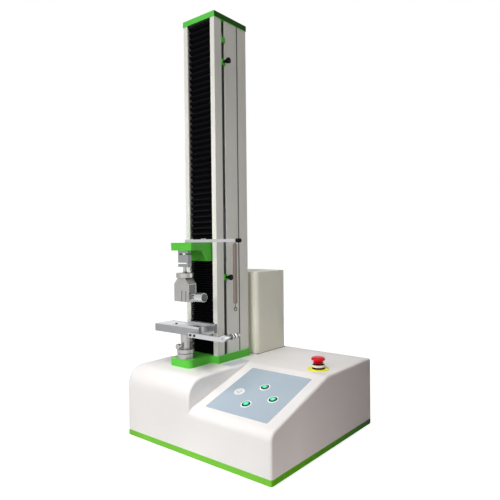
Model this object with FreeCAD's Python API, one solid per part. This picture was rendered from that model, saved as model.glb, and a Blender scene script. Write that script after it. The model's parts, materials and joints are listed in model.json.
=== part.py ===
"""Bench-top peel strength tester: one column on a sheet-metal base, a screw-driven crosshead with a
load cell and a vise grip, and a sliding peel table with a cord pulley.

Millimetres. X runs to the right of someone facing the machine, Y runs to the back, Z up.
The origin is the middle of the footprint, on the surface that the feet stand on.
"""
import FreeCAD, Part
import math
import os

V = FreeCAD.Vector
X_AXIS, Y_AXIS, Z_AXIS = V(1, 0, 0), V(0, 1, 0), V(0, 0, 1)
TOWARDS_FRONT = V(0, -1, 0)

# Clearances
running = 0.05         # radial, a shaft in a bore that turns or slides
moulded = 0.1          # radial, a plastic part in a plastic bore
fixed = 0.02           # radial, a screw or shaft that stays in its hole
sliding = 0.1          # between flat faces that slide past each other
free = 0.3             # between faces that only stay clear of each other
stop_play = 0.6        # each side of a stop block in the column's slot
bellows_play = 1.5     # each side of the bellows between the lips

# Base
base_width = 500.0
base_depth = 490.0
foot_height = 8.0
foot_radius = 18.0
foot_inset = 45.0
plate_thickness = 15.0
base_height = 190.0            # base plate and housing together
housing_wall = 4.0
corner_radius = 6.0
crown_radius = 50.0            # front top edge of the tall part
console_left = -7.0            # side wall of the sloping console
console_front_height = 115.7   # above the plate's underside, before the edge is rounded
console_run = 244.5            # from the front to where the slope meets the top
console_edge_radius = 25.0
console_crest_radius = 20.0

# Control panel on the slope, with lengths along Y unless they say slope
panel_inset = 128.5            # middle of the panel from the base's right side
panel_run = 123.0
panel_width = 193.0
panel_slope_length = 198.6
panel_thickness = 1.2
panel_corner_radius = 3.0
button_inset = 128.0           # middle of the buttons from the base's right side
button_run = 108.75
button_pitch_x = 53.5
button_pitch_slope = 40.0
bezel_radius = 11.0
bezel_height = 2.0
barrel_radius = 8.9
barrel_wall = 1.3
barrel_depth = 20.0
cap_height = 3.5
cap_edge = 0.8
button_travel = 1.5

# Emergency stop
estop_inset = 58.0             # from the base's right side
estop_y = 47.0
estop_disc_radius = 30.0
estop_disc_thickness = 1.5
estop_collar_radius = 17.0
estop_collar_height = 11.5
estop_tube_radius = 11.15
estop_tube_depth = 30.0
estop_tube_floor = 3.0
estop_stem_radius = 7.95
estop_neck_radius = 12.5
estop_head_radius = 19.0
estop_head_height = 16.0
estop_travel = 4.0

# Column
axis_x = -126.0                # column, screw and load axis
column_width = 123.0
column_depth = 137.6
column_front = -73.2
column_length = 959.0
column_wall = 4.7
lip_width = 16.0
slot_setback = 29.2            # behind the column's front
slot_width = 14.5
groove_setback = 94.2          # behind the column's front
groove_width = 6.0
groove_depth = 3.0
flange_thickness = 20.5
flange_side = 4.8              # proud of the column on each side
tongue_width = 80.0
tongue_reach = 90.3            # in front of the column
tongue_corner_radius = 12.0
tongue_fillet_radius = 15.0
screw_hole_radius = 12.0
cap_thickness = 15.5
cap_overhang = 1.5

# Bellows
bellows_setback = 2.2          # fold tips behind the column's front
bellows_depth = 11.0
bellows_sheet = 2.2
upper_folds = 38
lower_folds = 39

# Guides and drive
guide_radius = 8.0
guide_pitch = 72.0
guide_y = -17.0
screw_y = -13.0
screw_radius = 8.0
screw_end_gap = 9.5            # below the top cap
block_margin = 12.0            # carriage and end blocks outside the guide rods' axes
block_depth = 45.0
lower_block_height = 29.5
upper_block_height = 24.5
carriage_height = 151.0
striker_width = 9.0
striker_setback = 2.0          # behind the column's side face
nut_radius = 14.0
nut_length = 45.0
nut_flange_radius = 20.0
nut_flange_thickness = 10.0
screw_relief = 2.0             # radial, round the screw above the nut

# Drive in the base
belt_z = 47.5
belt_width = 11.0
belt_thickness = 2.0
belt_fit = 0.2
screw_pulley_radius = 30.0
motor_pulley_radius = 15.0
pulley_rim_height = 3.0
pulley_rim_thickness = 1.8
pulley_side_gap = 0.2
motor_x = 14.0
motor_size = 86.0
motor_height = 88.0
motor_corner_radius = 8.0
motor_shaft_radius = 7.0
motor_shaft_seat = 12.0
bracket_height = 47.0          # motor's underside above the base plate
bracket_plate = 8.0
bracket_leg = 6.0
bracket_margin = 5.0
bracket_hole_radius = 20.0
pedestal_width = 148.0
pedestal_front = -80.0
pedestal_depth = 155.0
pedestal_wall = 10.0

# Rear housing
rear_width = 156.0
rear_front = 87.0
rear_depth = 150.0
rear_height = 251.5
rear_wall = 2.0
rear_radius = 12.0
unit_margin = 14.0             # control unit inside the rear housing's walls
unit_height = 140.0

# Power inlet on the back of the rear housing
inlet_height = 50.0            # middle above the base's top
inlet_width = 48.0
inlet_tall = 54.0
inlet_flange = 2.5
inlet_rim = 3.0
inlet_depth = 30.0
socket_width = 25.0
socket_tall = 17.0
socket_depth = 16.0
socket_drop = 12.0             # below the inlet's middle
pin_width = 2.0
pin_tall = 4.0
pin_pitch = 7.0
pin_setback = 5.0
rocker_rise = 14.0             # above the inlet's middle
rocker_width = 19.6
rocker_tall = 14.6
rocker_play = 1.1
rocker_pivot_depth = 6.0
rocker_pivot_radius = 1.5
rocker_pivot_length = 1.0
rocker_foot = 3.0
rocker_half_turn = 7.0

# Crosshead at rest
load_y = -138.5
arm_bottom = 520.0
arm_thickness = 22.0
arm_width = 80.0
arm_overhang = 14.0            # in front of the load axis
back_plate_front = 9.8         # in front of the column
back_plate_thickness = 14.0
back_drop = 31.0               # below the arm
gusset_thickness = 7.0
gusset_reach = 26.0            # in front of the back plate, at the arm
gusset_toe = 2.0
gusset_toe_height = 3.0
neck_width = 48.0

# Load cell and grip
cell_width = 40.0
cell_depth = 13.0
cell_height = 46.0
cell_slot = 3.8
cell_slot_length = 32.0
cell_slot_inset = 8.0
cell_slot_end_radius = 2.7
stud_radius = 4.5
stud_length = 16.5
stud_flare = 4.0
collar_radius = 24.6
collar_height = 13.5
grip_width = 58.0
grip_depth = 29.0
grip_height = 66.0
grip_offset = 0.5
grip_shoulder_x = 15.5
grip_shoulder_z = 16.5
grip_fixed_half = 29.0         # from the grip's left side to the fixed clamping face
grip_screw_wall = 10.5
cavity_height = 30.0
jaw_gap = 2.2                  # open, at rest
jaw_back_gap = 2.0
jaw_groove_pitch = 4.0
jaw_groove_depth = 0.5
grip_screw_radius = 4.0
grip_screw_drop = 52.0         # below the grip's top
grip_tip_radius = 3.0
grip_tip_length = 8.0
grip_neck_radius = 5.5
grip_neck_gap = 2.5
grip_neck_length = 14.0
handle_radius = 12.8
handle_length = 29.0
handle_dish = 1.5

# Spring bar
bar_left = -119.0
bar_right = 66.0
bar_height = 8.0
bar_depth = 10.0
bar_screw_xs = (-95.0, -57.0, -47.0)
bar_screw_depths = (18.0, 6.0, 6.0)
bar_cap_radius = 5.3
bar_cap_length = 14.0
spring_x = 60.0
spring_radius = 5.8
spring_wire = 1.2
spring_gap = 3.0               # from the bar down to the coil
spring_length = 156.0
spring_end_taper = 4.0
spring_ring_drop = 13.0        # from the coil down to the ring's middle
spring_ring_radius = 4.5
spring_eye_radius = 3.2
spring_eye_thickness = 4.0
spring_pin_radius = 1.5
spring_pin_rise = 3.5
spring_pocket_length = 11.0
spring_pocket_width = 5.2
spring_pocket_roof = 1.0

# Limit rod and stops
rod_radius = 3.0
rod_setback = 6.4              # behind the column's side face
rod_length = 910.5
clamp_height = 15.0
clamp_proud = 1.6
stop_height = 16.0
stop_proud = 2.6
stop_reach = 11.4              # inside the column's side face
upper_stop_z = 1058.0          # middle of the block
lower_stop_z = 441.5
knob_tip_radius = 3.0
knob_stem_length = 7.0
knob_neck_radius = 4.5
knob_radius = 8.3
knob_flare_length = 10.0
knob_rim_length = 4.0

# Peel fixture
socket_radius = 23.5
socket_height = 14.5
thread_radius = 18.0
thread_height = 13.0
post_radius = 14.2
post_height = 73.5             # above the flange
ring_gap = 1.0
ring_radius = 24.6
ring_height = 12.0
cross_pin_radius = 3.95
cross_pin_z = 36.5             # above the flange
cross_pin_front = 24.5         # shank in front of the load axis
cross_pin_length = 54.0
cross_pin_head_radius = 8.0
cross_pin_head_length = 8.0
channel_length = 175.0
channel_width = 71.0
channel_height = 20.5
channel_wall = 11.0
channel_floor = 8.0
table_length = 156.5
table_overhang = 3.0           # past the channel's left end
table_play = 0.2               # each side
bars_length = 101.0
bars_width = 12.5
bars_thickness = 5.5
bars_screw_inset = 9.0
arm_left = -69.5
arm_thickness_y = 8.5
arm_depth = 12.0
arm_drop = 2.0                 # lower edge below the channel's underside
arm_screw_insets = (7.5, 22.5)
pulley_x = 53.0
pulley_drop = 3.0              # axis below the arm's upper edge
boss_radius = 8.5
shaft_radius = 4.0
shaft_length = 62.5
shaft_shoulder = 2.0
shaft_collar_radius = 7.0
shaft_collar_width = 7.0
pulley_y = -141.5
pulley_width = 15.0
pulley_radius = 11.0
pulley_groove_radius = 7.5
pulley_groove_width = 4.0
screw_head_radius = 3.5
screw_head_height = 2.6
screw_shank_radius = 2.0
channel_screw_depth = 8.0

# Levels and places that follow from the sizes above
base_bottom = foot_height
plate_top = base_bottom + plate_thickness
base_top = base_bottom + base_height
flange_top = base_top + flange_thickness
column_top = flange_top + column_length
front = -base_depth / 2
panel_x = base_width / 2 - panel_inset
button_x = base_width / 2 - button_inset
estop_x = base_width / 2 - estop_inset
back = base_depth / 2
column_left = axis_x - column_width / 2
column_right = axis_x + column_width / 2
column_back = column_front + column_depth
slot_front = column_front + slot_setback
slot_back = slot_front + slot_width
slot_y = (slot_front + slot_back) / 2
slope_rise = base_height - console_front_height
slope_angle = math.degrees(math.atan2(slope_rise, console_run))
bore_radius = barrel_radius - barrel_wall
rod_x = column_right - rod_setback
rod_top = flange_top + rod_length
arm_top = arm_bottom + arm_thickness
crosshead_bottom = arm_bottom - back_drop
block_width = guide_pitch + 2 * block_margin
block_front = guide_y - block_depth / 2
block_back = guide_y + block_depth / 2
cell_bottom = arm_bottom - cell_height
collar_top = cell_bottom - stud_length
grip_top = collar_top - collar_height
grip_bottom = grip_top - grip_height
grip_left = axis_x + grip_offset - grip_width / 2
grip_right = grip_left + grip_width
fixed_face = grip_left + grip_fixed_half
cavity_right = grip_right - grip_screw_wall
jaw_left = fixed_face + jaw_gap
jaw_right = cavity_right - jaw_back_gap
grip_screw_z = grip_top - grip_screw_drop
channel_bottom = flange_top + post_height
channel_top = channel_bottom + channel_height
channel_left = axis_x - channel_length / 2
channel_right = axis_x + channel_length / 2
channel_front = load_y - channel_width / 2
channel_back = load_y + channel_width / 2
bars_left = channel_right - bars_length
arm_low = channel_bottom - arm_drop
arm_high = arm_low + arm_depth
arm_front = channel_front - arm_thickness_y
pulley_z = arm_high - pulley_drop
spring_pin_z = arm_top + spring_pin_rise
spring_top = arm_top - spring_gap
motor_bottom = plate_top + bracket_height
pulley_half = belt_width / 2 + pulley_side_gap + pulley_rim_thickness
rear_back = rear_front + rear_depth
inlet_z = base_top + inlet_height
inlet_face = rear_back + inlet_flange
rocker_z = inlet_z + rocker_rise


def box(x0, x1, y0, y1, z0, z1):
    return Part.makeBox(x1 - x0, y1 - y0, z1 - z0, V(x0, y0, z0))


def rod(start, direction, radius, length):
    return Part.makeCylinder(radius, length, V(*start), direction)


def prism(points, direction):
    """A closed polygon of 3-D points, carried along a direction."""
    corners = [V(*p) for p in points]
    return Part.Face(Part.makePolygon(corners + corners[:1])).extrude(direction)


def turned(profile, centre, direction):
    """A closed profile of (radius, height) points, revolved about an axis through centre."""
    corners = [V(r, 0, z) for r, z in profile]
    solid = Part.Face(Part.makePolygon(corners + corners[:1])).revolve(V(0, 0, 0), Z_AXIS, 360)
    solid.Placement = FreeCAD.Placement(V(*centre), FreeCAD.Rotation(Z_AXIS, direction))
    return solid


def same(low, high, value):
    """Do both limits of an edge's box lie at a value?"""
    return abs(low - value) < 0.01 and abs(high - value) < 0.01


def edges_where(shape, test):
    return [edge for edge in shape.Edges if test(edge.BoundBox)]


def rounded_box(x0, x1, y0, y1, z0, z1, radius):
    """A box with its four upright edges rounded."""
    block = box(x0, x1, y0, y1, z0, z1)
    upright = edges_where(block, lambda b: b.ZLength > (z1 - z0) / 2)
    return block.makeFillet(radius, upright)


def fuse(shapes):
    whole = shapes[0]
    for shape in shapes[1:]:
        whole = whole.fuse(shape)
    return whole.removeSplitter()


def cut(shape, tools):
    for tool in tools:
        shape = shape.cut(tool)
    return shape


def on_slope(shape, x, run):
    """Put a shape that is built about the origin, Z outwards, on the console's slope."""
    z = base_bottom + console_front_height + run * slope_rise / console_run
    place = FreeCAD.Placement(V(x, front + run, z), FreeCAD.Rotation(X_AXIS, slope_angle))
    shape.Placement = place.multiply(shape.Placement)
    return shape


def screw(centre, direction, depth, play=0.0):
    """A button-head screw seated at centre, or the hole for it where play is given."""
    shank = screw_shank_radius + play
    if play:
        return rod(centre, direction * -1, shank, depth + play)
    r, h = screw_head_radius, screw_head_height
    profile = [(0, -depth), (shank, -depth), (shank, 0), (r, 0), (r, 0.4 * h), (0.7 * r, h), (0, h)]
    return turned(profile, centre, direction)


# Base


def rubber_feet():
    xs = (-base_width / 2 + foot_inset, base_width / 2 - foot_inset)
    ys = (front + foot_inset, back - foot_inset)
    bevel = foot_radius / 6
    profile = [(0, 0), (foot_radius - bevel, 0), (foot_radius, foot_height), (0, foot_height)]
    return [turned(profile, (x, y, 0), Z_AXIS) for x in xs for y in ys]


def base_plate():
    half = base_width / 2
    return rounded_box(-half, half, front, back, base_bottom, plate_top, corner_radius)


def soften(form, x_faces, y_back, top):
    """Round the side profile edges and the back top edge of a form, but not its open foot."""
    def chosen(b):
        on_side = any(same(b.XMin, b.XMax, x) for x in x_faces)
        on_back = same(b.YMin, b.YMax, y_back) and same(b.ZMin, b.ZMax, top)
        return (on_side and b.ZMax > plate_top + 1) or on_back
    return form.makeFillet(corner_radius, edges_where(form, chosen))


def tall_form(inset):
    """The tall left part of the housing, with its large front crown."""
    x0, x1 = -base_width / 2 + inset, console_left - inset
    y0, y1, top = front + inset, back - inset, base_top - inset
    form = box(x0, x1, y0, y1, plate_top, top)
    crown = edges_where(form, lambda b: same(b.YMin, b.YMax, y0) and same(b.ZMin, b.ZMax, top))
    form = form.makeFillet(crown_radius - inset, crown)
    return form if inset else soften(form, (x0, x1), y1, top)


def console_form(inset):
    """The console: an upright front, the slope, and the level top behind it."""
    lean = math.radians(slope_angle)
    drop = inset / math.cos(lean)
    y0, y1, top = front + inset, back - inset, base_top - inset
    low = base_bottom + console_front_height + inset * math.tan(lean) - drop
    crest = front + console_run + (drop - inset) / math.tan(lean)
    x0, x1 = console_left - 1.5 * corner_radius - housing_wall, base_width / 2 - inset
    outline = [(y0, plate_top), (y0, low), (crest, top), (y1, top), (y1, plate_top)]
    form = prism([(x0, y, z) for y, z in outline], V(x1 - x0, 0, 0))
    brow = edges_where(form, lambda b: same(b.YMin, b.YMax, y0) and same(b.ZMin, b.ZMax, low))
    form = form.makeFillet(console_edge_radius - inset, brow)
    ridge = edges_where(form, lambda b: same(b.YMin, b.YMax, crest) and same(b.ZMin, b.ZMax, top))
    form = form.makeFillet(console_crest_radius, ridge)
    return form if inset else soften(form, (x1,), y1, top)


def button_places():
    step = button_pitch_slope * math.cos(math.radians(slope_angle))
    return {
        "button_top": (button_x, button_run + step),
        "button_right": (button_x + button_pitch_x, button_run),
        "button_bottom": (button_x, button_run - step),
        "button_left": (button_x - button_pitch_x, button_run),
    }


def barrel_holes():
    reach = barrel_depth + housing_wall
    return [on_slope(rod((0, 0, -reach), Z_AXIS, barrel_radius + moulded, 2 * reach), x, run)
            for x, run in button_places().values()]


def estop_hole():
    return rod((estop_x, estop_y, base_top - estop_tube_depth), Z_AXIS, estop_tube_radius + running,
               2 * estop_tube_depth)


def base_housing():
    outside = fuse([tall_form(0), console_form(0)])
    inside = fuse([tall_form(housing_wall), console_form(housing_wall)])
    shell = outside.cut(inside)
    screw_hole = rod((axis_x, screw_y, base_top - 2 * housing_wall), Z_AXIS, screw_hole_radius,
                     3 * housing_wall)
    return cut(shell, barrel_holes() + [estop_hole(), screw_hole])


def control_panel():
    x, y = panel_width / 2, panel_slope_length / 2
    plate = rounded_box(-x, x, -y, y, 0, panel_thickness, panel_corner_radius)
    return cut(on_slope(plate, panel_x, panel_run), barrel_holes())


def button_bezels():
    """Each bezel is a ring on the panel, with a barrel that is closed below."""
    seat, top = panel_thickness, panel_thickness + bezel_height
    floor = barrel_wall - barrel_depth
    profile = [
        (0, -barrel_depth), (barrel_radius, -barrel_depth), (barrel_radius, seat), (bezel_radius, seat),
        (bezel_radius, seat + 0.6 * bezel_height), (bezel_radius - 1, top), (bore_radius, top),
        (bore_radius, floor), (0, floor),
    ]
    return [on_slope(turned(profile, (0, 0, 0), Z_AXIS), x, run) for x, run in button_places().values()]


def button_cap(x, run):
    low = barrel_wall - barrel_depth + button_travel + free
    top = panel_thickness + cap_height
    r = bore_radius - moulded
    profile = [(0, low), (r, low), (r, top - cap_edge), (r - cap_edge, top), (0, top)]
    return on_slope(turned(profile, (0, 0, 0), Z_AXIS), x, run)


def estop_disc():
    bore, r, t = estop_tube_radius + running, estop_disc_radius, estop_disc_thickness
    return turned([(bore, 0), (r, 0), (r, t), (bore, t)], (estop_x, estop_y, base_top), Z_AXIS)


def estop_collar():
    """The collar on the disc, with the switch's tube below it."""
    seat, top = estop_disc_thickness, estop_disc_thickness + estop_collar_height
    r, tube, bore = estop_collar_radius, estop_tube_radius, estop_stem_radius + running
    floor = estop_tube_floor - estop_tube_depth
    profile = [
        (0, -estop_tube_depth), (tube, -estop_tube_depth), (tube, seat), (r, seat), (r, top - 3),
        (r - 3, top), (bore, top), (bore, floor), (0, floor),
    ]
    return turned(profile, (estop_x, estop_y, base_top), Z_AXIS)


def estop_head():
    """A mushroom head on its neck and stem."""
    under = estop_disc_thickness + estop_collar_height + estop_travel + free
    low = estop_tube_floor - estop_tube_depth + estop_travel + free
    stem, neck, r, h = estop_stem_radius, estop_neck_radius, estop_head_radius, estop_head_height
    profile = [
        (0, low), (stem, low), (stem, under), (neck, under), (neck, under + 0.1 * h),
        (r - 1, under + 0.35 * h), (r, under + 0.5 * h), (r - 1, under + 0.68 * h),
        (0.75 * r, under + 0.88 * h), (0.4 * r, under + 0.98 * h), (0, under + h),
    ]
    return turned(profile, (estop_x, estop_y, base_top), Z_AXIS)


# Column


def column_flange():
    wide = box(column_left - flange_side, column_right + flange_side, column_front, column_back, base_top,
               flange_top)
    half, tip = tongue_width / 2, column_front - tongue_reach
    tongue = box(axis_x - half, axis_x + half, tip, column_front + flange_side, base_top, flange_top)
    corners = edges_where(tongue, lambda b: same(b.YMin, b.YMax, tip) and b.ZLength > 1)
    plate = fuse([wide, tongue.makeFillet(tongue_corner_radius, corners)])
    roots = edges_where(plate, lambda b: same(b.YMin, b.YMax, column_front) and b.ZLength > 1
                        and abs(abs(b.XMin - axis_x) - half) < 0.01)
    plate = plate.makeFillet(min(tongue_fillet_radius, column_width / 2 + flange_side - half - 0.5), roots)
    return plate.cut(rod((axis_x, screw_y, base_top - 1), Z_AXIS, screw_hole_radius, flange_thickness + 2))


def column_profile():
    """The main extrusion: left lip, left side, back and right side behind the slot, with a blind groove."""
    w, step = column_wall, column_front + column_wall
    inner_left, inner_right, inner_back = column_left + w, column_right - w, column_back - w
    outline = [
        (column_left, column_front), (column_left, column_back), (column_right, column_back),
        (column_right, slot_back), (inner_right, slot_back), (inner_right, inner_back),
        (inner_left, inner_back), (inner_left, step), (column_left + lip_width, step),
        (column_left + lip_width, column_front),
    ]
    bar = prism([(x, y, flange_top) for x, y in outline], V(0, 0, column_length))
    groove_front = column_front + groove_setback
    groove = box(column_right - groove_depth, column_right + 1, groove_front, groove_front + groove_width,
                 flange_top - 1, column_top + 1)
    return bar.cut(groove)


def column_corner():
    """The right front extrusion, between the bellows and the slot."""
    inner, tip, step = column_right - column_wall, column_right - lip_width, column_front + column_wall
    outline = [(column_right, column_front), (column_right, slot_front), (inner, slot_front), (inner, step),
               (tip, step), (tip, column_front)]
    return prism([(x, y, flange_top) for x, y in outline], V(0, 0, column_length))


def top_cap():
    o = cap_overhang
    return box(column_left - o, column_right + o, column_front - o, column_back + o, column_top,
               column_top + cap_thickness)


def bellows(z0, z1, folds):
    """A pleated sheet: its front and back are one zigzag, a sheet's thickness apart."""
    tip, half_pitch = column_front + bellows_setback, (z1 - z0) / (2 * folds)
    zigzag = [(tip + bellows_depth * ((i + 1) % 2), z0 + i * half_pitch) for i in range(2 * folds + 1)]
    outline = zigzag + [(y + bellows_sheet, z) for y, z in reversed(zigzag)]
    x0 = column_left + lip_width + bellows_play
    x1 = column_right - lip_width - bellows_play
    return prism([(x0, y, z) for y, z in outline], V(x1 - x0, 0, 0))


def guide_places():
    return [(axis_x - guide_pitch / 2, guide_y), (axis_x + guide_pitch / 2, guide_y)]


def guide_rods():
    return [rod((x, y, flange_top), Z_AXIS, guide_radius, column_length) for x, y in guide_places()]


def block(z0, z1, guide_play):
    """A block across the column's inside, bored for the guide rods."""
    half = block_width / 2
    body = box(axis_x - half, axis_x + half, block_front, block_back, z0, z1)
    return cut(body, [rod((x, y, z0 - 1), Z_AXIS, guide_radius + guide_play, z1 - z0 + 2)
                      for x, y in guide_places()])


def screw_bearings():
    spans = ((flange_top, flange_top + lower_block_height), (column_top - upper_block_height, column_top))
    bore = rod((axis_x, screw_y, base_top), Z_AXIS, screw_radius + running, column_top)
    return [block(z0, z1, fixed).cut(bore) for z0, z1 in spans]


def limit_rod():
    return rod((rod_x, slot_y, flange_top), Z_AXIS, rod_radius, rod_length)


def rod_clamp():
    clamp = box(column_right - stop_reach, column_right + clamp_proud, slot_front, slot_back,
                rod_top - clamp_height, rod_top)
    return clamp.cut(rod((rod_x, slot_y, rod_top - clamp_height - 1), Z_AXIS, rod_radius + fixed,
                         clamp_height + 2))


def stop_block(z):
    """A stop in the column's slot, bored for the limit rod and for its thumb screw. z is its middle."""
    half, low = slot_width / 2 - stop_play, z - stop_height / 2
    body = box(column_right - stop_reach, column_right + stop_proud, slot_y - half, slot_y + half, low,
               low + stop_height)
    rod_bore = rod((rod_x, slot_y, low - 1), Z_AXIS, rod_radius + running, stop_height + 2)
    knob_bore = rod((rod_x, slot_y, z), X_AXIS, knob_tip_radius + running, rod_setback + stop_proud + 1)
    return cut(body, [rod_bore, knob_bore])


def stop_knob(z):
    """A thumb screw whose tip ends just short of the limit rod."""
    tip = rod_radius + free
    head = rod_setback + stop_proud + knob_stem_length
    flared, end = head + knob_flare_length, head + knob_flare_length + knob_rim_length
    profile = [(0, tip), (knob_tip_radius, tip), (knob_tip_radius, head), (knob_neck_radius, head),
               (knob_radius, flared), (knob_radius, end - 1), (knob_radius - 1, end), (0, end)]
    return turned(profile, (rod_x, slot_y, z), X_AXIS)


# Drive


def ball_screw():
    low = belt_z - pulley_half - free
    return rod((axis_x, screw_y, low), Z_AXIS, screw_radius, column_top - screw_end_gap - low)


def belt_pulley(x, radius, bore):
    """A flat belt pulley with a rim on each side of its belt."""
    seat, half, rim = belt_width / 2 + pulley_side_gap, pulley_half, radius + pulley_rim_height
    profile = [(bore, -half), (rim, -half), (rim, -seat), (radius, -seat), (radius, seat), (rim, seat),
               (rim, half), (bore, half)]
    return turned(profile, (x, screw_y, belt_z), Z_AXIS)


def belt_loop(offset):
    """A solid round both pulleys, at an offset from their seats: two arcs and the tangents between them."""
    big, small = screw_pulley_radius + offset, motor_pulley_radius + offset
    lean = math.asin((big - small) / (motor_x - axis_x))
    z = belt_z - belt_width / 2

    def touch(x, radius, side):
        return V(x + radius * math.sin(lean), screw_y + side * radius * math.cos(lean), z)

    left = Part.Arc(touch(axis_x, big, 1), V(axis_x - big, screw_y, z), touch(axis_x, big, -1))
    right = Part.Arc(touch(motor_x, small, -1), V(motor_x + small, screw_y, z), touch(motor_x, small, 1))
    near = Part.makeLine(touch(axis_x, big, -1), touch(motor_x, small, -1))
    far = Part.makeLine(touch(motor_x, small, 1), touch(axis_x, big, 1))
    outline = Part.Wire([left.toShape(), near, right.toShape(), far])
    return Part.Face(outline).extrude(V(0, 0, belt_width))


def timing_belt():
    return belt_loop(belt_fit + belt_thickness).cut(belt_loop(belt_fit))


def motor():
    half = motor_size / 2
    body = rounded_box(motor_x - half, motor_x + half, screw_y - half, screw_y + half, motor_bottom,
                       motor_bottom + motor_height, motor_corner_radius)
    return body.cut(rod((motor_x, screw_y, motor_bottom - 1), Z_AXIS, motor_shaft_radius + running,
                        motor_shaft_seat + free + 1))


def motor_shaft():
    low = belt_z - pulley_half - free
    return rod((motor_x, screw_y, low), Z_AXIS, motor_shaft_radius, motor_bottom + motor_shaft_seat - low)


def motor_bracket():
    """A plate under the motor on two legs that leave the belt its way through."""
    half, under = motor_size / 2 + bracket_margin, motor_bottom - bracket_plate
    x0, x1, y0, y1 = motor_x - half, motor_x + half, screw_y - half, screw_y + half
    plate = box(x0, x1, y0, y1, under, motor_bottom)
    legs = [box(x0, x1, y, y + bracket_leg, plate_top, under) for y in (y0, y1 - bracket_leg)]
    hole = rod((motor_x, screw_y, under - 1), Z_AXIS, bracket_hole_radius, bracket_plate + 2)
    return fuse([plate] + legs).cut(hole)


def column_pedestal():
    """The bridge under the column: a plate against the housing's top, on a front and a back wall."""
    x0, x1 = axis_x - pedestal_width / 2, axis_x + pedestal_width / 2
    y0, y1, top = pedestal_front, pedestal_front + pedestal_depth, base_top - housing_wall
    w = pedestal_wall
    plate = box(x0, x1, y0, y1, top - w, top)
    walls = [box(x0, x1, y, y + w, plate_top, top - w) for y in (y0, y1 - w)]
    return fuse([plate] + walls).cut(rod((axis_x, screw_y, top - w - 1), Z_AXIS, screw_hole_radius, w + 2))


# Rear housing


def rear_form(inset, low):
    half = rear_width / 2 - inset
    return rounded_box(axis_x - half, axis_x + half, rear_front + inset, rear_back - inset, low,
                       base_top + rear_height - inset, rear_radius - inset)


def inlet_box(rim, y0, y1):
    half_x, half_z = inlet_width / 2 - rim, inlet_tall / 2 - rim
    return box(axis_x - half_x, axis_x + half_x, y0, y1, inlet_z - half_z, inlet_z + half_z)


def rear_housing():
    shell = rear_form(0, base_top).cut(rear_form(rear_wall, base_top - 1))
    return shell.cut(inlet_box(inlet_rim, rear_back - rear_wall - 1, rear_back + 1))


def control_unit():
    half = rear_width / 2 - rear_wall - unit_margin
    return rounded_box(axis_x - half, axis_x + half, rear_front + rear_wall + unit_margin,
                       rear_back - inlet_depth - unit_margin, base_top, base_top + unit_height, rear_wall)


def rocker_pivots(play):
    reach = rocker_tall / 2 + rocker_pivot_length + play
    start = (axis_x, inlet_face - rocker_pivot_depth, rocker_z - reach)
    return rod(start, Z_AXIS, rocker_pivot_radius + play, 2 * reach)


def inlet_module():
    """Mains inlet and switch in one moulding: flange, body, a socket with its pins and the rocker's well."""
    body = fuse([inlet_box(0, rear_back, inlet_face),
                 inlet_box(inlet_rim + moulded, rear_back - inlet_depth, rear_back)])
    socket_z, half_x, half_z = inlet_z - socket_drop, socket_width / 2, socket_tall / 2
    socket = box(axis_x - half_x, axis_x + half_x, inlet_face - socket_depth, inlet_face + 1,
                 socket_z - half_z, socket_z + half_z)
    well_x = rocker_width / 2 + rocker_play
    well_z = rocker_tall / 2 + moulded
    well_floor = inlet_face - rocker_pivot_depth - 2 * rocker_foot
    well = box(axis_x - well_x, axis_x + well_x, well_floor, inlet_face + 1, rocker_z - well_z,
               rocker_z + well_z)
    pins = [box(axis_x + i * pin_pitch - pin_width / 2, axis_x + i * pin_pitch + pin_width / 2,
                inlet_face - socket_depth, inlet_face - pin_setback,
                socket_z + dz - pin_tall / 2, socket_z + dz + pin_tall / 2)
            for i, dz in ((-1, -pin_tall / 2), (0, pin_tall / 2), (1, -pin_tall / 2))]
    return fuse([cut(body, [socket, well, rocker_pivots(running)])] + pins)


def power_rocker():
    """A rocker with a shallow V face, turned to one of its two positions about its pivots."""
    y, half = inlet_face - rocker_pivot_depth, rocker_width / 2
    z = rocker_z - rocker_tall / 2
    outline = [(half, rocker_pivot_depth + 1), (0, rocker_pivot_depth - 1), (-half, rocker_pivot_depth + 1),
               (-half, 1), (-0.7 * half, -rocker_foot), (0.7 * half, -rocker_foot), (half, 1)]
    body = prism([(axis_x + dx, y + dy, z) for dx, dy in outline], V(0, 0, rocker_tall))
    rocker = fuse([body, rocker_pivots(0)])
    rocker.rotate(V(axis_x, y, 0), Z_AXIS, -rocker_half_turn)
    return rocker


# Crosshead


def crosshead_bracket():
    """The arm and back plate, two gussets between them, and the neck that reaches the carriage."""
    x0, x1 = axis_x - arm_width / 2, axis_x + arm_width / 2
    y0 = column_front - back_plate_front
    y1 = y0 + back_plate_thickness
    arm = box(x0, x1, load_y - arm_overhang, y1, arm_bottom, arm_top)
    plate = box(x0, x1, y0, y1, crosshead_bottom, arm_top)
    toe = crosshead_bottom + gusset_toe_height
    outline = [(y0 - gusset_reach, arm_bottom), (y0, arm_bottom), (y0, toe), (y0 - gusset_toe, toe)]
    gussets = [prism([(x, y, z) for y, z in outline], V(gusset_thickness, 0, 0))
               for x in (x0, x1 - gusset_thickness)]
    half = neck_width / 2
    neck = box(axis_x - half, axis_x + half, y1, block_front, crosshead_bottom, arm_top)
    return cut(fuse([arm, plate, neck] + gussets), bar_screws(fixed)[:1])


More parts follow.
